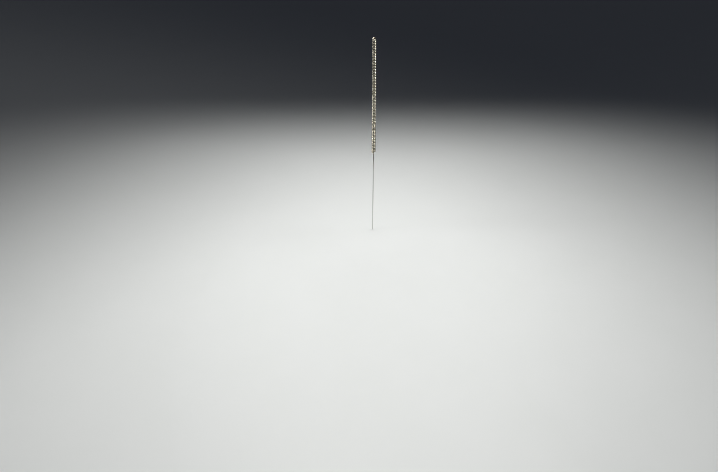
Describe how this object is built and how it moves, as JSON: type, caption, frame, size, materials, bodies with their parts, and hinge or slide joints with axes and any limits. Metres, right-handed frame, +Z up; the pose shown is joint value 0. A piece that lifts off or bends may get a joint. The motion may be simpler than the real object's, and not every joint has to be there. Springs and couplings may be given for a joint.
{
  "type": "acupuncture needle",
  "caption": "Slim straight steel needle with a ground point, standing upright, and a longer, thicker handle of wire wound tightly round its upper end.",
  "frame": {"origin": "on the needle's axis, where the needle enters the surface that holds it, 13.25 mm above its tip", "axes": "+Z up the needle, from the tip to the handle; -Y is the front, where the winding's lower end lies"},
  "size_m": [0.0012, 0.0012, 0.0749],
  "materials": {
    "polished_steel": "drawn and polished, fine lengthwise marks, bright",
    "winding_wire": "nickel silver, warm silver colour, smooth drawn wire"
  },
  "bodies": {
    "root": {"needle_shaft": "polished_steel", "handle_winding": "winding_wire"}
  },
  "joints": []
}
